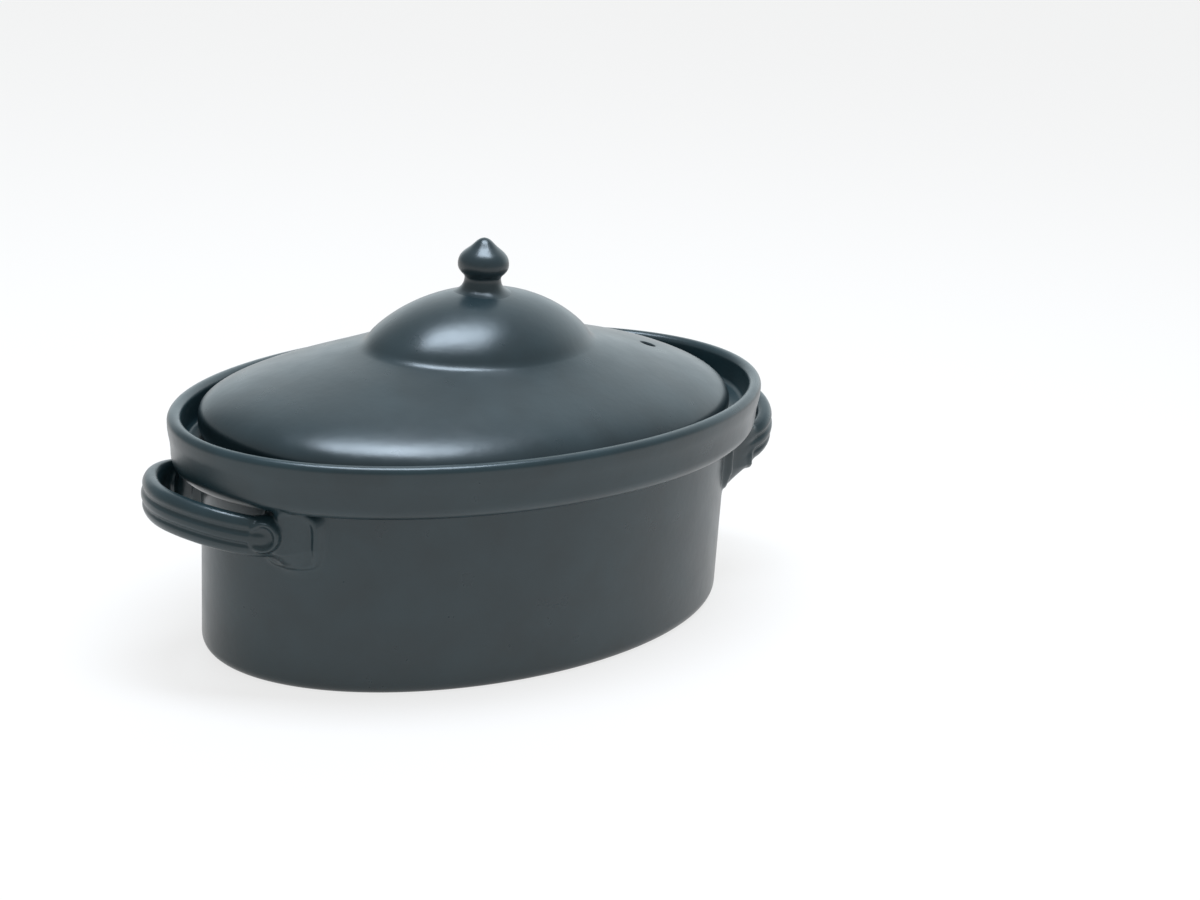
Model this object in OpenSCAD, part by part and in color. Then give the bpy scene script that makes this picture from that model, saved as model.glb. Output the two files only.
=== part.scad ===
// Oval clay pot for stovetop cooking: a straight-sided oval vessel with a heavy collar at the rim,
// two reeded loop handles on its ends, and a domed lid with an onion knob.
// Origin: centre of the base, on the table. +X runs along the length, +Z is up, -Y is the front.

/* [Rim and collar] */
// Length over the rim
rim_length = 297; // [292:0.2:302]
// Width over the rim
rim_width = 195; // [190:0.2:199]
// Height of the rim above the table
rim_height = 104.7; // [102:0.1:108]
// Thickness of the rounded lip
lip_thickness = 6; // [5.4:0.2:7]
// Height of the collar, from its underside to the top of the lip
collar_height = 24; // [22:0.5:26]

/* [Vessel] */
// Length of the wall, outside
wall_length = 266.6; // [260:0.2:269]
// Width of the wall, outside
wall_width = 169.6; // [164:0.2:171]
// Thickness of the wall
wall_thickness = 7; // [6.5:0.1:8]
// Thickness of the floor
floor_thickness = 8; // [6:0.5:10]
// How much smaller the base is than the wall, on each end
base_taper = 0.9; // [0.6:0.1:3]
// Rounding of the base's outer edge
base_rounding = 5; // [3:0.5:7]
// Depth of the ledge that carries the lid, below the top of the lip
ledge_depth = 11; // [10:0.2:12]

/* [Lid] */
// Length of the lid
lid_length = 262; // [259:0.5:267]
// Width of the lid
lid_width = 175.2; // [171:0.2:177]
// How far to the left the lid sits in its mouth, within its play
lid_shift = 1.6; // [0:0.1:2]
// Thickness of the lid
lid_thickness = 6.5; // [5.5:0.1:7.5]
// Height of the crease round the middle dome, above the table
crease_height = 126.9; // [125:0.1:129]
// Length of the middle dome at its crease
dome_length = 114; // [108:1:120]
// Width of the middle dome at its crease
dome_width = 83; // [78:1:88]
// Rise of the middle dome above its crease
dome_rise = 23.8; // [21:0.2:26]
// Diameter of the steam hole
steam_hole_d = 7; // [6:0.5:8]

/* [Knob] */
// Diameter of the knob's bulb
knob_d = 22.6; // [20:0.2:24]
// Diameter of the knob's neck
neck_d = 15.4; // [13:0.2:17]
// Height of the knob above the middle dome
knob_height = 23.2; // [21:0.2:25]

/* [Handles] */
// Reach of the left handle's centre line from the middle of the pot
left_reach = 157.8; // [155:0.2:161]
// Reach of the right handle's centre line from the middle of the pot
right_reach = 159.8; // [156:0.2:162]
// Distance between the two feet of a handle
handle_spread = 60; // [54:1:64]
// Height of the reeded strap
strap_height = 17.2; // [15:0.2:19]
// Thickness of the reeded strap
strap_thickness = 8.6; // [7:0.2:10]
// Depth of the two grooves that reed the strap
reed_depth = 1.3; // [0.6:0.1:1.8]
// Height of the left strap's centre line at its front foot
left_front_foot = 66.7; // [63:0.1:71]
// Height of the left strap's centre line at its back foot
left_back_foot = 72; // [67:0.2:73]
// Height of the left strap's centre line at its outer end
left_crown = 76; // [72:0.2:79]
// Height of the right strap's centre line at its front foot
right_front_foot = 65.6; // [62:0.2:70]
// Height of the right strap's centre line at its back foot
right_back_foot = 70; // [65:0.2:72]
// Height of the right strap's centre line at its outer end
right_crown = 78; // [73:0.2:80]
// How far each handle sits off the long axis, from being set on by hand
handle_skew = 4.4; // [0:0.2:5]
// Length of the tab that each foot is pressed out into, along the wall
tab_length = 30.5; // [26:0.5:33]
// Height of each tab
tab_height = 25; // [22:0.2:25.4]
// How far the left tabs and pellets sit below the strap's centre line
left_tab_drop = 0.8; // [0:0.1:4]
// How far the right tabs and pellets sit below the strap's centre line
right_tab_drop = 4.5; // [0:0.1:5]
// Diameter of the pellet on each foot
pellet_d = 14.4; // [12:0.2:15]

/* [Hidden] */
$fn = 128;
rim_l = rim_length / 2;
rim_w = rim_width / 2;
wall_l = wall_length / 2;
wall_w = wall_width / 2;
cavity_l = wall_l - wall_thickness;
cavity_w = wall_w - wall_thickness;
mouth_l = rim_l - lip_thickness;
mouth_w = rim_w - lip_thickness;
lip_r = lip_thickness / 2;
collar_z = rim_height - collar_height;
ledge_z = rim_height - ledge_depth;
floor_corner = 14;

seat_clearance = 0.3;
lid_l = lid_length / 2;
lid_w = lid_width / 2;
lid_seat_z = ledge_z + seat_clearance;
lid_edge_r = 2.4;
shoulder_l = lid_l - 20;
shoulder_z = rim_height + 7.6;
lid_edge_z = rim_height - 5;
seat_width = 9;
dome_l = dome_length / 2;
dome_w = dome_width / 2;
dome_top = crease_height + dome_rise;
lid_arc_sag = 0.3;
hole_x = 89.6;
hole_y = -13;

knob_sink = 2;
strap_root = 119;
strap_bend = 139;
strap_turn_y = 18;
strap_crown = 19;
strap_rings = 22;
pellet_along = 0.24;
pellet_out = 6.2;
pellet_depth = 6;
pellet_dish = 1.2;
tab_offset = 7;
tab_border = 4.4;
tab_hollow = 2.6;
tab_sink = 2;
tab_around = 28;

glaze = [0.22, 0.25, 0.27];
glaze_light = [0.27, 0.30, 0.32];
glaze_dark = [0.18, 0.21, 0.23];

ENDS = ["left", "right"];
SIDES = ["front", "back"];

// ---- Shared curves ----

// Points on a circular arc about c, from angle a0 to a1
function arc(c, r, a0, a1, n) =
    [for (i = [0:n]) c + r * [cos(a0 + (a1 - a0) * i / n), sin(a0 + (a1 - a0) * i / n)]];

// One point on a cubic curve with the four control points p
function cubic(p, t) =
    pow(1 - t, 3) * p[0] + 3 * pow(1 - t, 2) * t * p[1] + 3 * (1 - t) * t * t * p[2] + pow(t, 3) * p[3];

// n points along a cubic curve, its start left out
function curve(p, n) = [for (i = [1:n]) cubic(p, i / n)];

// Signed power, which squares off a cosine or a sine
function squared(v, power) = sign(v) * pow(abs(v), power);

// Turns a profile drawn along the length into an oval solid of the given half length and half width.
// It is made in four quarters, so that no surface runs all the way round.
module oval(half_length, half_width) {
    for (turn = [0:90:270])
        scale([1, half_width / half_length, 1])
            rotate([0, 0, turn])
                rotate_extrude(angle = 90)
                    children();
}

// ---- Vessel ----

module wall_solid() {
    base_l = wall_l - base_taper;
    oval(wall_l, wall_w)
        polygon(concat(
            [[0, 0]],
            arc([base_l - base_rounding, base_rounding], base_rounding, -90, 0, 5),
            [[wall_l - 0.5, 45], [wall_l, collar_z - 4], [wall_l, collar_z + 6], [0, collar_z + 6]]
        ));
}

module collar_solid() {
    face_l = rim_l - 1.6;
    oval(rim_l, rim_w)
        polygon(concat(
            [[0, collar_z], [face_l - 5.5, collar_z]],
            curve([[face_l - 5.5, collar_z], [face_l - 1.8, collar_z + 0.2],
                   [face_l - 0.2, collar_z + 3], [face_l, collar_z + 7]], 5),
            [[rim_l - 1, collar_z + 11.5], [rim_l - 0.2, rim_height - 6]],
            arc([rim_l - lip_r, rim_height - lip_r], lip_r, 0, 90, 6),
            [[0, rim_height]]
        ));
}

module cavity_space() {
    oval(cavity_l, cavity_w)
        polygon(concat(
            [[0, floor_thickness]],
            arc([cavity_l - base_taper - floor_corner, floor_thickness + floor_corner],
                floor_corner, -90, 0, 6),
            [[cavity_l, 50], [cavity_l, rim_height + 1], [0, rim_height + 1]]
        ));
}

// The opening above the ledge, flared over the inner half of the rounded lip
module mouth_space() {
    ledge_r = 1.5;
    oval(mouth_l, mouth_w)
        polygon(concat(
            [[0, ledge_z]],
            arc([mouth_l - 1 - ledge_r, ledge_z + ledge_r], ledge_r, -90, 0, 3),
            arc([mouth_l + lip_r, rim_height - lip_r], lip_r, 180, 95, 5),
            [[mouth_l + lip_r, rim_height + 1], [0, rim_height + 1]]
        ));
}

module pot_body() {
    color(glaze)
        difference() {
            union() {
                wall_solid();
                collar_solid();
            }
            cavity_space();
            mouth_space();
        }
}

// ---- Lid ----

// Height above the chord of the lid's shallow outer slope, at a share s of the way in from its shoulder
function slope_bulge(s) = 4 * lid_arc_sag * s * (1 - s);

// The outer slope up to the crease, its first points left out
function slope_points(from_r, from_z, to_r, to_z, n, first) =
    [for (i = [first:n]) [
        from_r + (to_r - from_r) * i / n,
        from_z + (to_z - from_z) * i / n + slope_bulge(i / n)
    ]];

// The middle dome's profile, from the crease in to the top
function dome_points(half_l, crease_z, rise, n) =
    [for (i = [n:-1:0]) let (share = sin(90 * i / n))
        [half_l * share, crease_z + rise * pow(1 - pow(share, 2.06), 0.8)]];

module lid_outer_solid() {
    oval(lid_l, lid_w)
        polygon(concat(
            [[0, lid_seat_z]],
            arc([lid_l - lid_edge_r, lid_seat_z + lid_edge_r], lid_edge_r, -90, 0, 3),
            curve([[lid_l, lid_edge_z], [lid_l, lid_edge_z + 5.4],
                   [shoulder_l + 9, shoulder_z - 2.3], [shoulder_l, shoulder_z]], 9),
            slope_points(shoulder_l, shoulder_z, dome_l - 4, crease_height + 1, 8, 1),
            [[0, crease_height + 1]]
        ));
}

module lid_inner_space() {
    inner_l = lid_l - seat_width;
    inner_w = lid_w - seat_width;
    oval(inner_l, inner_w)
        polygon(concat(
            [[0, lid_seat_z - 1], [inner_l, lid_seat_z - 1], [inner_l, lid_seat_z + 1]],
            slope_points(inner_l - 3, lid_seat_z + 6.5, dome_l - 6, crease_height - lid_thickness, 8, 0),
            [[0, crease_height - lid_thickness]]
        ));
}

module dome_solid() {
    oval(dome_l, dome_w)
        polygon(concat(
            [[0, crease_height - 5], [dome_l + 5, crease_height - 5]],
            arc([dome_l + 5.4, crease_height + 2.4], 5.4, 262, 206, 4),
            dome_points(dome_l - 0.2, crease_height + 0.6, dome_rise - 0.6, 14)
        ));
}

module dome_inner_space() {
    inner_l = dome_l - lid_thickness;
    inner_w = dome_w - lid_thickness;
    inner_z = crease_height - lid_thickness - 1;
    oval(inner_l, inner_w)
        polygon(concat(
            [[0, inner_z - 3], [inner_l, inner_z - 3]],
            dome_points(inner_l, inner_z, dome_top - lid_thickness - inner_z, 10)
        ));
}

module lid_shell() {
    color(glaze_light)
        translate([-lid_shift, 0, 0])
            difference() {
                union() {
                    lid_outer_solid();
                    dome_solid();
                }
                lid_inner_space();
                dome_inner_space();
                translate([hole_x, hole_y, ledge_z])
                    cylinder(d = steam_hole_d, h = 40);
            }
}

module lid_knob() {
    bulb = knob_d / 2;
    neck = neck_d / 2;
    bulb_z = dome_top + knob_height * 0.5;
    neck_z = dome_top + knob_height * 0.13;
    tip_z = dome_top + knob_height;
    root_z = dome_top - knob_sink;
    color(glaze)
        translate([-lid_shift, 0, 0])
            rotate_extrude()
                polygon(concat(
                    [[0, root_z], [neck + 1.8, root_z], [neck + 1.8, dome_top - 0.6]],
                    curve([[neck + 1.8, dome_top - 0.6], [neck + 0.8, dome_top + 0.4],
                           [neck, dome_top + 1.2], [neck, neck_z]], 4),
                    curve([[neck, neck_z], [neck, neck_z + 2.6], [bulb, bulb_z - 4.6], [bulb, bulb_z]], 6),
                    curve([[bulb, bulb_z], [bulb, bulb_z + 4.4], [neck - 1.4, bulb_z + 5.2],
                           [neck / 2, tip_z - 3.2]], 7),
                    curve([[neck / 2, tip_z - 3.2], [neck / 2 - 1, tip_z - 2.3], [1.2, tip_z - 0.4],
                           [0, tip_z]], 4)
                ));
}

// ---- Handles ----

function reach(end) = end == "left" ? left_reach : right_reach;
function crown(end) = end == "left" ? left_crown : right_crown;
function tab_drop(end) = end == "left" ? left_tab_drop : right_tab_drop;

// A handle is drawn at the right end, and the left one is turned half round, so its feet change places
function foot(end, far) =
    end == "left" ? (far ? left_front_foot : left_back_foot) : (far ? right_back_foot : right_front_foot);

// Where a foot starts inside the wall: the far foot is nearer the long axis, where the wall is further out
function root(far) = far ? strap_root + 3 : strap_root;

// Half of the strap's route in plan, from its foot (t = 0) to its outer end (t = 1)
function strap_route(end, far) = [
    [root(far), -handle_spread / 2],
    [strap_bend, -handle_spread / 2 - strap_turn_y],
    [reach(end), -strap_crown],
    [reach(end), 0]
];

// Point on the whole route, u from -1 at the near foot to 1 at the far foot
function route_point(end, u) =
    let (far = u > 0,
         p = cubic(strap_route(end, far), 1 - abs(u)),
         share = (p[0] - root(far)) / (reach(end) - root(far)))
    [p[0], far ? -p[1] : p[1], foot(end, far) + (crown(end) - foot(end, far)) * share];

// Direction along the route in plan, by a short step each way
function route_dir(end, u) =
    let (a = route_point(end, max(u - 0.01, -1)), b = route_point(end, min(u + 0.01, 1)),
         d = [b[0] - a[0], b[1] - a[1]])
    d / norm(d);

// Reeded section of the strap: x is outward, y is up
function reed_cut(y) = reed_depth * (exp(-pow((y - strap_height / 6) / 1.1, 2))
                                   + exp(-pow((y + strap_height / 6) / 1.1, 2)));
function section_edge(y) = strap_thickness / 2 * pow(1 - pow(abs(2 * y / strap_height), 2.6), 1 / 2.6);
section_rows = [-0.5, -0.47, -0.4, -0.32, -0.24, -0.167, -0.1, 0, 0.1, 0.167, 0.24, 0.32, 0.4, 0.47, 0.5];
section = concat(
    [for (row = section_rows) [section_edge(row * strap_height) - reed_cut(row * strap_height),
                               row * strap_height]],
    [for (row = [0.44, 0.3, 0, -0.3, -0.44]) [-section_edge(row * strap_height), row * strap_height]]
);

// Joins rings of points into one closed skin
module skin(rings) {
    n = len(rings[0]);
    last = len(rings) - 1;
    polyhedron(
        points = [for (ring = rings) for (p = ring) p],
        faces = concat(
            [[for (i = [n - 1:-1:0]) i]],
            [for (k = [0:last - 1]) for (i = [0:n - 1])
                [k * n + i, (k + 1) * n + (i + 1) % n, (k + 1) * n + i]],
            [for (k = [0:last - 1]) for (i = [0:n - 1])
                [k * n + i, k * n + (i + 1) % n, (k + 1) * n + (i + 1) % n]],
            [[for (i = [0:n - 1]) last * n + i]]
        ),
        convexity = 6
    );
}

// A strap at the right end, centred on the long axis
module strap(end) {
    skin([for (k = [-strap_rings:strap_rings])
        let (u = k / strap_rings, c = route_point(end, u), d = route_dir(end, u), out = [d[1], -d[0]])
        [for (s = section) [c[0] + out[0] * s[0], c[1] + out[1] * s[0], c[2] + s[1]]]
    ]);
}

// Places a right-hand part on the named end: the left one is the right one turned half round
module on_end(end) {
    rotate([0, 0, end == "left" ? 180 : 0])
        translate([0, -handle_skew, 0])
            children();
}

// Whether a foot is the far one of its strap as drawn at the right end
function is_far(end, side) = (end == "right") == (side == "back");

// A foot's parts are drawn at the near foot, and mirrored for the far one
module on_foot(end, side) {
    on_end(end)
        mirror([0, is_far(end, side) ? 1 : 0, 0])
            children();
}

module handle(end) {
    color(glaze)
        on_end(end)
            strap(end);
}

// Point on the wall at angle a, out from it by d; the skew of the handle is taken off again
function wall_point(a, d, z, skew) =
    let (n = [cos(a) / wall_l, sin(a) / wall_w])
    [wall_l * cos(a) + d * n[0] / norm(n), wall_w * sin(a) + d * n[1] / norm(n) + skew, z];

// Tab pressed out along the wall from a foot, thick at its border and hollow in the middle
module tab(end, side) {
    far = is_far(end, side);
    skew = far ? -handle_skew : handle_skew;
    tab_z = foot(end, far) - tab_drop(end);
    centre_y = -handle_spread / 2 - tab_offset - skew;
    centre_a = asin(centre_y / wall_w);
    mm_per_degree = norm([wall_l * sin(centre_a), wall_w * cos(centre_a)]) * PI / 180;
    border = [[0.02, tab_hollow], [0.45, tab_hollow], [0.68, tab_border - 0.5], [0.82, tab_border],
              [0.93, tab_border - 0.9], [1, tab_border - 3], [1, -tab_sink], [0.02, -tab_sink]];
    color(glaze_dark)
        on_foot(end, side)
            skin([for (b = border) [for (i = [0:tab_around - 1])
                let (g = 360 * i / tab_around,
                     along = b[0] * tab_length / 2 * squared(cos(g), 0.62),
                     up = b[0] * tab_height / 2 * squared(sin(g), 0.62))
                wall_point(centre_a + along / mm_per_degree, b[1], tab_z + up, skew)
            ]]);
}

// Pellet of clay pressed on with a fingertip where the strap meets its tab, facing out at a slant
module pellet(end, side) {
    far = is_far(end, side);
    c = route_point(end, -1 + pellet_along);
    z = foot(end, far) + (crown(end) - foot(end, far)) * (c[0] - strap_root) / (reach(end) - strap_root);
    r = pellet_d / 2;
    edge = 1.8;
    dish_r = r - edge;
    color(glaze_light)
        on_foot(end, side)
            translate([c[0] + 0.45 * pellet_out, c[1] - 0.89 * pellet_out, z - tab_drop(end)])
                rotate([0, 90, -45])
                    translate([0, 0, -pellet_depth])
                        rotate_extrude()
                            polygon(concat(
                                [[0, 0], [r, 0], [r, pellet_depth - edge]],
                                arc([dish_r, pellet_depth - edge], edge, 0, 90, 4),
                                curve([[dish_r, pellet_depth], [dish_r - 1.4, pellet_depth],
                                       [dish_r - 2.4, pellet_depth - pellet_dish],
                                       [0, pellet_depth - pellet_dish]], 5)
                            ));
}

pot_body();
lid_shell();
lid_knob();
for (end = ENDS)
    handle(end);
for (end = ENDS) for (side = SIDES)
    tab(end, side);
for (end = ENDS) for (side = SIDES)
    pellet(end, side);
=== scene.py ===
"""Looks of the oval clay pot: satin black glaze over a thrown vessel, its handles and its lid.

Shapes are written in millimetres in the CAD frame, and scaled to metres when a mesh is made. The
stage, the lamp and the camera are in metres.
"""
import math

import bpy
import numpy as np
from mathutils import Matrix, Vector


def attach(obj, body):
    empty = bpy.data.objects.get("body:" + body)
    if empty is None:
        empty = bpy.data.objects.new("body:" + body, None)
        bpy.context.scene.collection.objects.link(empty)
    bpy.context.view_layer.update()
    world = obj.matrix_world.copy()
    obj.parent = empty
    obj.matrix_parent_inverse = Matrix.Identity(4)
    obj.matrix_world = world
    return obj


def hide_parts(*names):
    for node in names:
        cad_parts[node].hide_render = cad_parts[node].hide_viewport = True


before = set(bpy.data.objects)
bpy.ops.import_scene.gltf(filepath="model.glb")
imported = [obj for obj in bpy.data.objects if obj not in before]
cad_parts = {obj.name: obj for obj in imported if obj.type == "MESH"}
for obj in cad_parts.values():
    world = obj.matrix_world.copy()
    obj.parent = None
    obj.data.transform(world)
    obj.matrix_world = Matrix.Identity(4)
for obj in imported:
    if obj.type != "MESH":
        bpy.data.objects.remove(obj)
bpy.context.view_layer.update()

MM = 0.001
AROUND = 288
HANDLE_PITCH = 0.5

# Vessel: half lengths and half widths of its ovals, and heights
WALL_L, WALL_W = 133.3, 84.8
WALL_TAPER = 0.9
RIM_L, RIM_W = 148.5, 97.5
LIP = 6.0
CREST_Z = 104.7
CAVITY_L, CAVITY_W = 126.3, 77.8
LEDGE_Z = 93.7
GROOVE_DEPTH = 2.6
FLOOR_Z = 8

# Collar: its lower edge is set in from the lip and rounded
COLLAR_Z = 80.7
COLLAR_LIFT = 0.3
COLLAR_INSET = 2.2
COLLAR_ROUND = 6.0

# Lid: its seat, the dome in its middle and its steam hole
SEAT_Z = 94.0
CREASE_Z = 126.9
DOME_L, DOME_W = 57.0, 41.4
DOME_RISE = 23.7
UNDER_DOME_L, UNDER_DOME_W = 50.5, 35.0
UNDER_DOME_Z, UNDER_DOME_RISE = 119.4, 24.8
HOLE = (88.0, -13.0)
HOLE_R = 3.4
HOLE_Z = 117.2
HOLE_SLOPE = (-0.27, 0.07)

# The lid as thrown and set down by hand: a fuller oval, a little turned and a little uneven
LID_L, LID_W = 130.0, 86.8
LID_POWER = 2.25
LID_CENTRE = (-1.6, 1.0)
DOME_CENTRE = (-0.6, 0.3)
LID_TURN = 0.03
LID_RISE = (-0.015, 0.01)
EDGE_Z = 99.5

# Straps: half sizes of the section, and the two reeds along the outside
STRAP_HALF, STRAP_HALF_HEIGHT = 4.3, 8.6
STRAP_POWER = 2.5
REED_Z, REED_WIDTH, REED_HEIGHT = 2.87, 1.15, 1.0
CLIMB_START = 120.5

# Tabs: half sizes along the wall and upward, the raised border, and the heel under the strap's foot
TAB_HALF, TAB_HALF_HEIGHT = 14.6, 15.0
TAB_THICK = 2.4
BORDER_HEIGHT, BORDER_AT, BORDER_WIDTH = 1.5, 0.76, 0.12
TAB_EDGE, TAB_EDGE_WIDTH, TAB_EDGE_DROP = 0.82, 0.18, 6.0
TAB_LOWER, TAB_LOWER_REACH, TAB_LOWER_DROP = 3, 9, 2.6
HEEL_START, HEEL_HEIGHT, HEEL_WIDTH = 4, 14.5, 8.5
HEEL_FLOOR = 4.5

# Buttons: a raised ring about a dish
RING_HEIGHT, RING_R, RING_WIDTH = 1.9, 5.6, 1.5
DISH = 1.4
BUTTON_R, BUTTON_FALL, BUTTON_DEPTH = 6.0, 1.1, 6

# A height over a slanted face is more than the distance from it, by about these shares
TAB_SLANT, BUTTON_SLANT = 0.8, 0.75

# How wide the clay is smoothed where two forms of a handle meet, and how deep it goes into the wall
HEEL_BLEND, TAB_BLEND, BUTTON_BLEND, WALL_BLEND = 3.0, 3.5, 2.0, 2.4
SINK = 0.7

# Both loops are drawn at the right end, where the near side is the front; the left one is then
# turned half round. skew is how far the loop is set toward the near side. Each foot has its
# height, the middle of its tab (y, z), how far the heel stands out and is set in, and the middle
# of its button (x, y, z).
NEAR, FAR = -1, 1
HANDLES = {
    "left": {
        "reach": 157.8, "crown_z": 75.2, "skew": 3.6,
        NEAR: {"z": 72.4, "tab": (-38.0, 67.5), "heel": 8.5, "inset": 0.0,
               "button": (134.8, -42.3, 72.0)},
        FAR: {"z": 66.7, "tab": (36.0, 67.5), "heel": 9.5, "inset": -0.5,
              "button": (136.6, 37.5, 71.3)},
    },
    "right": {
        "reach": 159.8, "crown_z": 78.0, "skew": 5.6,
        NEAR: {"z": 66.2, "tab": (-42.4, 64.5), "heel": 11.5, "inset": 3.0,
               "button": (132.6, -42.0, 64.0)},
        FAR: {"z": 70.0, "tab": (34.0, 67.0), "heel": 8.5, "inset": 0.0,
              "button": (136.0, 36.5, 70.5)},
    },
}

# The view of the photograph, the floor with the share of it that shows as plain white, and colours
AZIMUTH, ELEVATION, ROLL = -0.720540, 0.313603, 0.063268
CAMERA_PLACE = (-0.60911, -0.77813, 0.39927)
LENS, SENSOR = 69, 36
FLOOR_REACH = 6.0
FLOOR_WHITE = 0.75
WHITE = (1, 1, 1, 1)
SHEET_COLOUR = (0.94, 0.86, 0.82, 1)
ROOM_COLOUR = (0.86, 0.96, 1.0, 1)
LAMP_COLOUR = (0.72, 0.86, 1.0)


# ---- Meshes ----

def place(name, data):
    """A new object in the scene for a mesh, a lamp or a camera."""
    placed = bpy.data.objects.new(name, data)
    bpy.context.scene.collection.objects.link(placed)
    return placed


def make_object(name, points, faces, material, body, slot, stands_for):
    """A mesh object from points in millimetres, riding on a CAD body in place of CAD nodes."""
    mesh = bpy.data.meshes.new(name)
    mesh.from_pydata([tuple(p) for p in np.asarray(points) * MM], [], [tuple(f) for f in faces])
    mesh.validate()
    mesh.update()
    mesh.polygons.foreach_set("use_smooth", [True] * len(mesh.polygons))
    piece = place(name, mesh)
    mesh.materials.append(material)
    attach(piece, body)
    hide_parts(*stands_for)
    return piece


def rounded(corners, step=4.0, turn=8.0):
    """Points along a path of (a, b, z, cut) corners, each rounded off by an arc.

    The arc starts the distance cut away from its corner and turns by turn degrees a piece.
    Straight runs are split into pieces no longer than step.
    """
    corners = np.array(corners, float)
    points, cuts = corners[:, :3], corners[:, 3]
    path = [points[0]]
    for k in range(1, len(points) - 1):
        corner, cut = points[k], cuts[k]
        if cut <= 0:
            path.append(corner)
            continue
        back, ahead = points[k - 1] - corner, points[k + 1] - corner
        back_len, ahead_len = math.hypot(back[0], back[2]), math.hypot(ahead[0], ahead[2])
        start, end = corner + back * cut / back_len, corner + ahead * cut / ahead_len
        cos_between = (back[0] * ahead[0] + back[2] * ahead[2]) / (back_len * ahead_len)
        between = math.acos(max(-1.0, min(1.0, cos_between)))
        weight = math.sin(between / 2)
        count = max(2, int(math.degrees(math.pi - between) / turn) + 1)
        for t in np.linspace(0, 1, count + 1):
            terms = (1 - t) ** 2, 2 * t * (1 - t) * weight, t * t
            path.append((terms[0] * start + terms[1] * corner + terms[2] * end) / sum(terms))
    path.append(points[-1])
    fine = [path[0]]
    for here, there in zip(path, path[1:]):
        pieces = max(1, math.ceil(math.hypot(there[0] - here[0], there[2] - here[2]) / step))
        fine += [here + (there - here) * i / pieces for i in range(1, pieces + 1)]
    return np.array(fine)


def bezier(p, count):
    """Points along a cubic curve with four control points."""
    t = np.linspace(0, 1, count)[:, None]
    p = np.array(p, float)
    return ((1 - t) ** 3 * p[0] + 3 * t * (1 - t) ** 2 * p[1] + 3 * t * t * (1 - t) * p[2]
            + t ** 3 * p[3])


def skin(rings, first, last):
    """Points and faces of rings joined in order and closed by the points first and last."""
    count = rings.shape[1]
    points = np.concatenate([rings.reshape(-1, 3), [first, last]])
    here = np.arange(count)
    there = (here + 1) % count
    faces = []
    for k in range(len(rings) - 1):
        low, high = k * count, (k + 1) * count
        faces += np.stack([low + here, low + there, high + there, high + here], 1).tolist()
    faces += np.stack([here * 0 + len(points) - 2, there, here], 1).tolist()
    top = (len(rings) - 1) * count
    faces += np.stack([here * 0 + len(points) - 1, top + here, top + there], 1).tolist()
    return points, faces


# ---- Vessel ----

def oval_rings(rows):
    """Rings of true ovals for rows (a, b, z)."""
    turn = np.arange(AROUND) * 2 * math.pi / AROUND
    rings = np.empty((len(rows), AROUND, 3))
    rings[:, :, 0] = rows[:, 0:1] * np.cos(turn)
    rings[:, :, 1] = rows[:, 1:2] * np.sin(turn)
    rings[:, :, 2] = rows[:, 2:3]
    return rings


def vessel_mesh():
    """From the middle of the base, up the outside, over the lip and down to the floor's middle."""
    wall = WALL_W / WALL_L
    rim = RIM_W / RIM_L
    mouth_l = RIM_L - LIP
    mouth = (RIM_W - LIP) / mouth_l
    cavity = CAVITY_W / CAVITY_L

    def corner(half_length, ratio, z, cut):
        return half_length, half_length * ratio, z, cut

    rows = rounded([
        (0, 0, 0, 0),
        corner(60, wall, 0, 0),
        corner(WALL_L - WALL_TAPER, wall, 0, 5.0),
        (WALL_L, WALL_W, COLLAR_Z, 2.4),
        corner(RIM_L - COLLAR_INSET, rim, COLLAR_Z + COLLAR_LIFT, COLLAR_ROUND),
        corner(RIM_L - 1.5, rim, COLLAR_Z + 12, 3.0),
        (RIM_L, RIM_W, CREST_Z - 6.0, 2.6),
        (RIM_L, RIM_W, CREST_Z, 3.0),
        corner(mouth_l, mouth, CREST_Z, 3.0),
        corner(mouth_l - 1, mouth, LEDGE_Z - GROOVE_DEPTH, 2.6),
        (CAVITY_L + 4, CAVITY_W + 4, LEDGE_Z - GROOVE_DEPTH, 1.0),
        (CAVITY_L + 1.5, CAVITY_W + 1.5, LEDGE_Z, 0.6),
        (CAVITY_L, CAVITY_W, LEDGE_Z, 0.6),
        (CAVITY_L, CAVITY_W, 50, 0.6),
        corner(CAVITY_L - WALL_TAPER, cavity, FLOOR_Z, 14),
        corner(50, cavity, FLOOR_Z, 0),
        (0, 0, FLOOR_Z, 0),
    ])
    return skin(oval_rings(rows[1:-1]), rows[0], rows[-1])


# ---- Lid ----

def dome_share(u):
    """Height of a dome as a share of its rise, at a share u of its radius."""
    return np.clip(1 - np.clip(u, 0, 1) ** 2.06, 0, 1) ** 0.8


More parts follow.
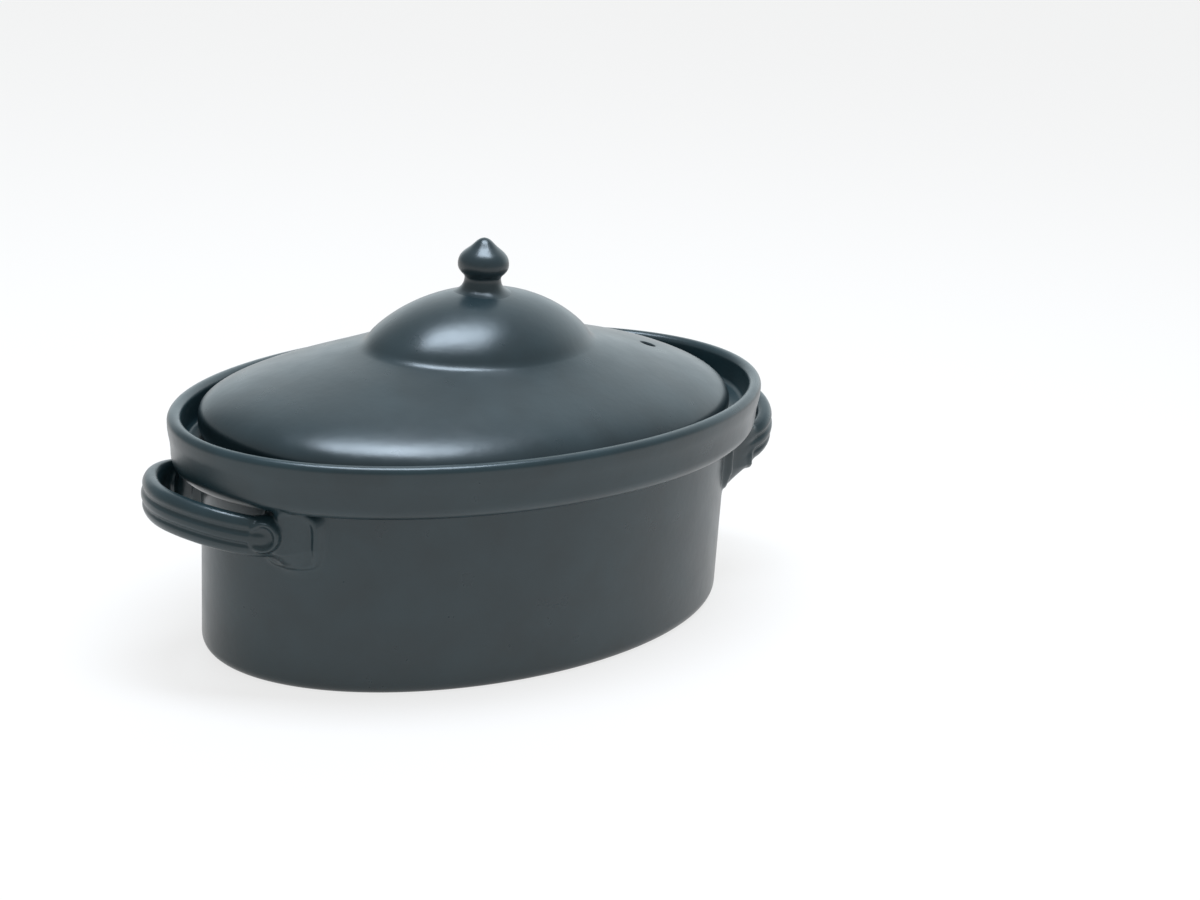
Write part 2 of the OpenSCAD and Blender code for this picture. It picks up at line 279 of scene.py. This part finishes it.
def lid_rows():
    """From the dome's top down the outside, round the seat and up the inside to its underside."""
    rows = []
    for u in (0, 0.06, 0.12, 0.18, 0.24, 0.3, 0.36, 0.42, 0.48, 0.54, 0.6, 0.66, 0.72, 0.77, 0.82,
              0.86, 0.9, 0.94):
        rows.append((DOME_L * u, DOME_W * u, CREASE_Z + float(DOME_RISE * dome_share(u)), 0))
    rows.append((DOME_L, DOME_W, CREASE_Z + 0.1, 3.2))
    slope = bezier([(DOME_L, DOME_W, CREASE_Z), (97.5, 56.0, 116.9), (LID_L, 82.0, 111.5),
                    (LID_L, LID_W, EDGE_Z)], 44)
    rows += [(*point, 0) for point in slope[3:]]
    rows += [
        (LID_L, LID_W, SEAT_Z, 2.4),
        (121.2, 78, SEAT_Z, 1.0),
        (118.2, 75.2, SEAT_Z + 6.5, 2.5),
        (88, 57.0, 110.5, 0),
        (51.0, 35.6, CREASE_Z - 6.5, 3.0),
        (47.0, 33.0, CREASE_Z + 3.0, 0),
    ]
    for u in (0.9, 0.8, 0.65, 0.5, 0.35, 0.2, 0):
        height = UNDER_DOME_Z + UNDER_DOME_RISE * float(dome_share(u))
        rows.append((UNDER_DOME_L * u, UNDER_DOME_W * u, height, 0))
    return rounded(rows, step=5.0)


def lid_mesh():
    """Rings from a true oval at the dome to a fuller one at the edge, each with its own centre."""
    rows = lid_rows()
    inner = rows[1:-1]
    half_l, half_w, level = inner[:, 0:1], inner[:, 1:2], inner[:, 2:3]
    out = np.clip((half_l - DOME_L) / (LID_L - DOME_L), 0, 1)
    turn = np.arange(AROUND) * 2 * math.pi / AROUND
    power = 2 / (2 + (LID_POWER - 2) * out)
    x = half_l * np.sign(np.cos(turn)) * np.abs(np.cos(turn)) ** power
    y = half_w * np.sign(np.sin(turn)) * np.abs(np.sin(turn)) ** power
    x, y = (x * math.cos(LID_TURN) - y * math.sin(LID_TURN),
            x * math.sin(LID_TURN) + y * math.cos(LID_TURN))
    # The seat and the knob's foot stay level
    free = np.clip((level - SEAT_Z - 0.5) / 4, 0, 1) * np.clip((half_l - 20) / DOME_L, 0, 1)
    z = level + free * (LID_RISE[0] * x + LID_RISE[1] * y)
    x += DOME_CENTRE[0] + (LID_CENTRE[0] - DOME_CENTRE[0]) * out
    y += DOME_CENTRE[1] + (LID_CENTRE[1] - DOME_CENTRE[1]) * out
    points, faces = skin(np.stack([x, y, z], 2),
                         [*DOME_CENTRE, rows[0][2]], [*DOME_CENTRE, rows[-1][2]])
    return points, [face[::-1] for face in faces]


def knob_mesh():
    """The knob turned about the dome's axis, its foot spread thin over the dome.

    The profile holds radius, height over the dome's top, and how far it follows the dome down.
    """
    top = CREASE_Z + DOME_RISE
    foot = [
        (14.6, -2.5, 1), (14.6, -0.35, 1), (13.2, -0.1, 1), (12.2, 0.12, 1), (11.2, 0.45, 1),
        (10.2, 0.95, 0.96), (9.3, 1.65, 0.85), (8.7, 2.5, 0.6), (8.3, 3.4, 0.3), (8.1, 4.4, 0.1),
        (8.05, 5.3, 0),
    ]
    bulb = np.concatenate([
        bezier([(8.05, 5.3), (8.15, 7.0), (11.3, 7.8), (11.3, 11.2)], 10)[1:],
        bezier([(11.3, 11.2), (11.3, 15.6), (8.4, 17.0), (6.0, 19.0)], 14)[1:],
        bezier([(6.0, 19.0), (4.3, 20.4), (2.9, 22.6), (0.8, 22.95)], 8)[1:],
    ])
    turn = np.arange(AROUND // 2) * 4 * math.pi / AROUND
    rings = []
    for r, h, follow in foot + [(r, h, 0) for r, h in bulb]:
        x, y = r * np.cos(turn), r * np.sin(turn)
        drop = DOME_RISE - DOME_RISE * dome_share(np.hypot(x / DOME_L, y / DOME_W))
        rings.append(np.stack([x + DOME_CENTRE[0], y + DOME_CENTRE[1], top + h - follow * drop], 1))
    return skin(np.array(rings), [*DOME_CENTRE, top - 4.0], [*DOME_CENTRE, top + 23.15])


def cut_steam_hole(lid):
    """Pierces the lid with the steam hole, its top edge softened to follow the slope."""
    turn = np.arange(64) * 2 * math.pi / 64
    rows = [(HOLE_R, -16.0), (HOLE_R, -1.5), (HOLE_R + 0.12, -0.75), (HOLE_R + 0.45, -0.2),
            (HOLE_R + 1.0, 0.12), (HOLE_R + 1.6, 0.8)]
    points = []
    for k, (r, h) in enumerate(rows):
        x, y = r * np.cos(turn), r * np.sin(turn)
        tilt = 1 if k > 0 else 0
        slope = tilt * (HOLE_SLOPE[0] * x + HOLE_SLOPE[1] * y)
        points.append(np.stack([HOLE[0] + x, HOLE[1] + y, HOLE_Z + h + slope], 1))
    points = np.concatenate(points) * MM
    count = len(turn)
    faces = [list(range(count - 1, -1, -1))]
    for k in range(len(rows) - 1):
        for i in range(count):
            j = (i + 1) % count
            faces.append([k * count + i, k * count + j, (k + 1) * count + j, (k + 1) * count + i])
    faces.append([(len(rows) - 1) * count + i for i in range(count)])
    mesh = bpy.data.meshes.new("hole_cutter")
    mesh.from_pydata([tuple(p) for p in points], [], faces)
    cutter = place("hole_cutter", mesh)
    cut = lid.modifiers.new("hole", "BOOLEAN")
    cut.operation = "DIFFERENCE"
    cut.solver = "EXACT"
    cut.object = cutter
    bpy.context.view_layer.update()
    shape = lid.evaluated_get(bpy.context.evaluated_depsgraph_get())
    pierced = bpy.data.meshes.new_from_object(shape)
    lid.modifiers.clear()
    lid.data = pierced
    bpy.data.objects.remove(cutter)
    bpy.data.meshes.remove(mesh)


# ---- Handles ----

def soft_min(first, second, k):
    """The smaller of two distances, blended where they are within k of each other."""
    overlap = np.maximum(k - np.abs(first - second), 0) / k
    return np.minimum(first, second) - overlap * overlap * k / 4


def oval_distance(x, y, half_l, half_w):
    """Distance outward from an upright oval wall, good near the wall."""
    level = (x / half_l) ** 2 + (y / half_w) ** 2 - 1
    return level / (2 * np.hypot(x / half_l ** 2, y / half_w ** 2))


def wall_distance(x, y, z):
    """Distance outward from the wall, and from the collar over it."""
    half_l = WALL_L - WALL_TAPER * np.clip((COLLAR_Z - z) / COLLAR_Z, 0, 1)
    wall = oval_distance(x, y, half_l, half_l * WALL_W / WALL_L)
    collar_l = RIM_L - COLLAR_INSET
    side = oval_distance(x, y, collar_l, collar_l * RIM_W / RIM_L) + COLLAR_ROUND
    under = COLLAR_Z + COLLAR_LIFT + COLLAR_ROUND - z
    collar = np.minimum(np.maximum(side, under), 0)
    collar += np.hypot(np.maximum(side, 0), np.maximum(under, 0))
    collar -= COLLAR_ROUND
    return np.minimum(wall, collar)


def tab_distance(x, y, z, side, foot):
    """A tab pressed out along the wall, with the heel under the strap's foot.

    Its raised border dies away downward, and its middle is dished.
    """
    centre_y, centre_z = foot["tab"]
    centre = math.asin(centre_y / WALL_W)
    per_radian = math.hypot(WALL_L * math.sin(centre), WALL_W * math.cos(centre))
    angle = np.arctan2(y / WALL_W, x / WALL_L)
    along = (angle - centre) * per_radian
    up = z - centre_z
    share = (np.abs(along / TAB_HALF) ** 4 + np.abs(up / TAB_HALF_HEIGHT) ** 4) ** 0.25
    border = BORDER_HEIGHT * np.exp(-((share - BORDER_AT) / BORDER_WIDTH) ** 2)
    edge = np.clip((share - TAB_EDGE) / TAB_EDGE_WIDTH, 0, 2) ** 1.3
    thick = TAB_THICK + border - TAB_EDGE_DROP * edge
    thick = thick - TAB_LOWER_DROP * np.clip((-up - TAB_LOWER) / TAB_LOWER_REACH, 0, 1.5)
    heel = np.clip(1 - (centre_z - HEEL_START - z) / HEEL_HEIGHT, 0, 1) ** 0.9
    heel = heel * np.exp(-((along + foot["inset"] * side) / HEEL_WIDTH) ** 2)
    thick = -soft_min(-thick, HEEL_FLOOR - (foot["heel"] + HEEL_FLOOR) * heel, HEEL_BLEND)
    return (oval_distance(x, y, WALL_L, WALL_W) - thick) * TAB_SLANT


def button_distance(x, y, z, side, centre):
    """A button of clay pressed on where a strap meets its tab, facing out at a slant."""
    dx, dy = x - centre[0], (y - centre[1]) * side
    height = (dx + dy) * math.sqrt(0.5)
    r = np.hypot((dx - dy) * math.sqrt(0.5), z - centre[2])
    ring = RING_HEIGHT * np.exp(-((r - RING_R) / RING_WIDTH) ** 2)
    top = ring - DISH - BUTTON_FALL * np.clip(r - BUTTON_R, 0, 4) ** 2
    return np.maximum((height - top) * BUTTON_SLANT, -height - BUTTON_DEPTH)


def strap_route(reach, side):
    """Control points in plan of half a strap, from its foot to its outer end."""
    root = 122 if side > 0 else 119
    return [(root, side * 30), (139, side * 48), (reach, side * 19), (reach, 0)]


def strap_distance(x, y, z, loop):
    """Distance from the reeded strap, before its skew."""
    reach, crown_z = loop["reach"], loop["crown_z"]
    plan_x, plan_y = x[:, :, 0], y[:, :, 0]
    halves = [bezier(strap_route(reach, side), 160) for side in (NEAR, FAR)]
    route = np.concatenate([halves[0], halves[1][-2::-1]])
    best = np.full(plan_x.shape, 1e9)
    along = np.zeros(plan_x.shape)
    offset = np.zeros(plan_x.shape)
    for start, end in zip(route, route[1:]):
        step = end - start
        share = (plan_x - start[0]) * step[0] + (plan_y - start[1]) * step[1]
        share = np.clip(share / (step @ step), 0, 1)
        dx, dy = plan_x - start[0] - share * step[0], plan_y - start[1] - share * step[1]
        distance = np.hypot(dx, dy)
        closer = distance < best
        best = np.where(closer, distance, best)
        outward = np.sign(step[1] * dx - step[0] * dy)
        offset = np.where(closer, distance * outward, offset)
        along = np.where(closer, start[0] + share * step[0], along)
    climb = np.clip((along - CLIMB_START) / (reach - CLIMB_START), 0, 1)
    foot_z = np.where(plan_y < 0, loop[NEAR]["z"], loop[FAR]["z"])
    middle = foot_z + (crown_z - foot_z) * climb
    offset, height = offset[:, :, None], z - middle[:, :, None]
    reeds = np.exp(-((height - REED_Z) / REED_WIDTH) ** 2)
    reeds += np.exp(-((height + REED_Z) / REED_WIDTH) ** 2)
    across = offset + REED_HEIGHT * reeds * (offset > 0)
    share = (np.abs(across / STRAP_HALF) ** STRAP_POWER
             + np.abs(height / STRAP_HALF_HEIGHT) ** STRAP_POWER) ** (1 / STRAP_POWER)
    steep = np.hypot(across / STRAP_HALF ** 2, height / STRAP_HALF_HEIGHT ** 2)
    scale = share / np.maximum(steep, 1e-6)
    return (share - 1) * np.clip(scale, 3.0, STRAP_HALF_HEIGHT)


def surface_net(values, origin, pitch):
    """Points and quads of the zero surface of a grid of distances (naive surface nets)."""
    inside = values < 0
    corner = [(i, j, k) for i in (0, 1) for j in (0, 1) for k in (0, 1)]
    nx, ny, nz = (n - 1 for n in values.shape)

    def shifted(grid, c):
        return grid[c[0]:c[0] + nx, c[1]:c[1] + ny, c[2]:c[2] + nz]

    count = sum(shifted(inside, c).astype(np.int8) for c in corner)
    cells = np.argwhere((count > 0) & (count < 8))
    total = np.zeros((len(cells), 3))
    hits = np.zeros(len(cells))
    for a in corner:
        for b in corner:
            if sum(abs(p - q) for p, q in zip(a, b)) != 1 or a > b:
                continue
            va = values[tuple((cells + a).T)]
            vb = values[tuple((cells + b).T)]
            crosses = (va < 0) != (vb < 0)
            share = np.where(crosses, va / np.where(crosses, va - vb, 1), 0)
            total += crosses[:, None] * (np.array(a) + share[:, None] * (np.array(b) - np.array(a)))
            hits += crosses
    points = (cells + total / hits[:, None]) * pitch + origin
    index = -np.ones((nx, ny, nz), int)
    index[tuple(cells.T)] = np.arange(len(cells))
    faces = []
    for axis in range(3):
        u, v = (axis + 1) % 3, (axis + 2) % 3
        low = [slice(1, n) for n in (nx, ny, nz)]
        low[axis] = slice(0, (nx, ny, nz)[axis])
        high = list(low)
        high[axis] = slice(1, (nx, ny, nz)[axis] + 1)
        first, second = inside[tuple(low)], inside[tuple(high)]
        at = np.argwhere(first != second)
        flips = first[tuple(at.T)]
        base = at.copy()
        base[:, u] += 1
        base[:, v] += 1
        du, dv = np.zeros(3, int), np.zeros(3, int)
        du[u], dv[v] = 1, 1
        quad = np.stack([index[tuple((base - du - dv).T)], index[tuple((base - dv).T)],
                         index[tuple(base.T)], index[tuple((base - du).T)]], 1)
        quad[~flips] = quad[~flips][:, ::-1]
        faces.append(quad)
    return points, np.concatenate(faces)


def handle_mesh(end):
    """One piece of strap, tabs and buttons, smoothed into the wall, as drawn at the right end."""
    loop = HANDLES[end]
    low, high = np.array([95.0, -68.0, 44.0]), np.array([166.0, 62.0, 93.0])
    axes = [np.arange(a, b, HANDLE_PITCH) for a, b in zip(low, high)]
    x, y, z = np.meshgrid(*axes, indexing="ij")
    handle = strap_distance(x, y + loop["skew"], z, loop)
    for side in (NEAR, FAR):
        handle = soft_min(handle, tab_distance(x, y, z, side, loop[side]), TAB_BLEND)
    for side in (NEAR, FAR):
        button = button_distance(x, y, z, side, loop[side]["button"])
        handle = soft_min(handle, button, BUTTON_BLEND)
    wall = wall_distance(x, y, z)
    # The piece reaches SINK into the wall, and along it only as far as the blend does
    joined = soft_min(handle, wall, WALL_BLEND) + 0.05 * np.clip(handle / WALL_BLEND - 0.6, 0, 1)
    piece = np.maximum(np.maximum(joined, -(wall + SINK)), handle - 1.05 * WALL_BLEND)
    points, faces = surface_net(piece, low, HANDLE_PITCH)
    if end == "left":
        points = points * [-1, -1, 1]
    return points, faces


# ---- Materials and light ----

def new_tree(block):
    """The nodes and links of a material or world."""
    block.use_nodes = True
    return block.node_tree.nodes, block.node_tree.links


def ramp(nodes, links, value, source, target, curve="LINEAR"):
    """Takes the range source of a value to the range target."""
    node = nodes.new("ShaderNodeMapRange")
    node.interpolation_type = curve
    node.inputs["From Min"].default_value, node.inputs["From Max"].default_value = source
    node.inputs["To Min"].default_value, node.inputs["To Max"].default_value = target
    links.new(value, node.inputs["Value"])
    return node.outputs["Result"]


def mix_shaders(nodes, links, share, first, second):
    """The first shader, with a share of the second."""
    node = nodes.new("ShaderNodeMixShader")
    links.new(share, node.inputs["Fac"])
    links.new(first, node.inputs[1])
    links.new(second, node.inputs[2])
    return node.outputs["Shader"]


def glaze(name, tint):
    """Satin black glaze: dark, softly mottled, with the faint unevenness of a fired surface."""
    material = bpy.data.materials.new(name)
    nodes, links = new_tree(material)
    shader = nodes["Principled BSDF"]
    shader.inputs["IOR"].default_value = 1.54
    surface = nodes.new("ShaderNodeTexCoord").outputs["Object"]

    def noise(scale, detail):
        node = nodes.new("ShaderNodeTexNoise")
        node.inputs["Scale"].default_value = scale
        node.inputs["Detail"].default_value = detail
        links.new(surface, node.inputs["Vector"])
        return node.outputs["Fac"]

    mottle = ramp(nodes, links, noise(scale=38, detail=3), (0.35, 0.65), (0, 1))
    colour = nodes.new("ShaderNodeMix")
    colour.data_type = "RGBA"
    colour.inputs["A"].default_value = (*[c * 0.86 for c in tint], 1)
    colour.inputs["B"].default_value = (*[c * 1.14 for c in tint], 1)
    links.new(mottle, colour.inputs["Factor"])
    links.new(colour.outputs["Result"], shader.inputs["Base Color"])
    roughness = ramp(nodes, links, noise(scale=70, detail=4), (0.3, 0.7), (0.27, 0.33))
    links.new(roughness, shader.inputs["Roughness"])
    bump = nodes.new("ShaderNodeBump")
    bump.inputs["Strength"].default_value = 0.25
    bump.inputs["Distance"].default_value = 0.0002
    links.new(noise(scale=260, detail=2), bump.inputs["Height"])
    links.new(bump.outputs["Normal"], shader.inputs["Normal"])
    return material


def paper():
    """The white sheet under the pot: it takes shadow, and shows nearly white to the camera."""
    material = bpy.data.materials.new("paper")
    nodes, links = new_tree(material)
    sheet = nodes["Principled BSDF"]
    sheet.inputs["Base Color"].default_value = SHEET_COLOUR
    sheet.inputs["Roughness"].default_value = 0.9
    bright = nodes.new("ShaderNodeEmission")
    bright.inputs["Color"].default_value = WHITE
    bright.inputs["Strength"].default_value = 1.0
    path = nodes.new("ShaderNodeLightPath")
    direct = nodes.new("ShaderNodeMath")
    direct.operation = "MAXIMUM"
    links.new(path.outputs["Is Camera Ray"], direct.inputs[0])
    links.new(path.outputs["Is Glossy Ray"], direct.inputs[1])
    seen = nodes.new("ShaderNodeMath")
    seen.operation = "MULTIPLY"
    seen.inputs[1].default_value = FLOOR_WHITE
    links.new(direct.outputs["Value"], seen.inputs[0])
    shown = mix_shaders(nodes, links, seen.outputs["Value"], sheet.outputs["BSDF"],
                        bright.outputs["Emission"])
    links.new(shown, nodes["Material Output"].inputs["Surface"])
    return material


def studio(toward_dark):
    """A white room, darker overhead and on the side that toward_dark points to."""
    world = bpy.data.worlds.new("studio")
    nodes, links = new_tree(world)
    along = nodes.new("ShaderNodeVectorMath")
    along.operation = "DOT_PRODUCT"
    along.inputs[1].default_value = toward_dark
    links.new(nodes.new("ShaderNodeTexCoord").outputs["Generated"], along.inputs[0])
    strength = ramp(nodes, links, along.outputs["Value"], (-0.9, -0.35), (1.45, 0.5), "SMOOTHSTEP")
    room = nodes["Background"]
    room.inputs["Color"].default_value = ROOM_COLOUR
    links.new(strength, room.inputs["Strength"])
    white = nodes.new("ShaderNodeBackground")
    white.inputs["Color"].default_value = WHITE
    white.inputs["Strength"].default_value = 1.0
    camera_ray = nodes.new("ShaderNodeLightPath").outputs["Is Camera Ray"]
    shown = mix_shaders(nodes, links, camera_ray, room.outputs["Background"],
                        white.outputs["Background"])
    links.new(shown, nodes["World Output"].inputs["Surface"])
    return world


# ---- Pieces ----

body_glaze = glaze("body_glaze", (0.0135, 0.0290, 0.0345))
lid_glaze = glaze("lid_glaze", (0.0150, 0.0265, 0.0310))
handle_glaze = glaze("handle_glaze", (0.0135, 0.0290, 0.0345))

make_object("vessel", *vessel_mesh(), body_glaze, "pot", "body_glaze", ["pot_body"])
lid = make_object("lid", *lid_mesh(), lid_glaze, "lid", "lid_glaze", ["lid_shell"])
cut_steam_hole(lid)
make_object("knob", *knob_mesh(), lid_glaze, "lid", "lid_glaze", ["lid_knob"])

for end in ("left", "right"):
    stands_for = [f"{end}_handle"]
    for side in ("front", "back"):
        stands_for += [f"{end}_{side}_tab", f"{end}_{side}_pellet"]
    make_object(f"{end}_loop", *handle_mesh(end), handle_glaze, "pot", "handle_glaze", stands_for)


# ---- Stage, light and camera ----

back = Vector((math.sin(AZIMUTH) * math.cos(ELEVATION), -math.cos(AZIMUTH) * math.cos(ELEVATION),
               math.sin(ELEVATION)))
right = Vector((math.cos(AZIMUTH), math.sin(AZIMUTH), 0))
up = back.cross(right)

floor_mesh = bpy.data.meshes.new("floor")
floor_mesh.from_pydata([(x * FLOOR_REACH, y * FLOOR_REACH, 0)
                        for x, y in ((-1, -1), (1, -1), (1, 1), (-1, 1))], [], [(0, 1, 2, 3)])
floor_mesh.materials.append(paper())
floor = place("floor", floor_mesh)

bpy.context.scene.world = studio((back.x - 0.22 * right.x, back.y - 0.22 * right.y, 0))

lamp = bpy.data.lights.new("overhead", "AREA")
lamp.shape = "RECTANGLE"
lamp.size, lamp.size_y = 0.8, 0.4
lamp.energy = 17.5
lamp.color = LAMP_COLOUR
overhead = place("overhead", lamp)
overhead.location = (0.03, -0.05, 1.3)
overhead.rotation_euler = (0, 0, AZIMUTH)

camera_data = bpy.data.cameras.new("camera")
camera_data.lens = LENS
camera_data.sensor_width = SENSOR
camera = place("camera", camera_data)
x_axis = math.cos(ROLL) * right + math.sin(ROLL) * up
y_axis = math.cos(ROLL) * up - math.sin(ROLL) * right
turned = Matrix((x_axis, y_axis, back)).transposed().to_4x4()
camera.matrix_world = Matrix.Translation(CAMERA_PLACE) @ turned
bpy.context.scene.camera = camera
bpy.context.scene.view_settings.view_transform = "Standard"
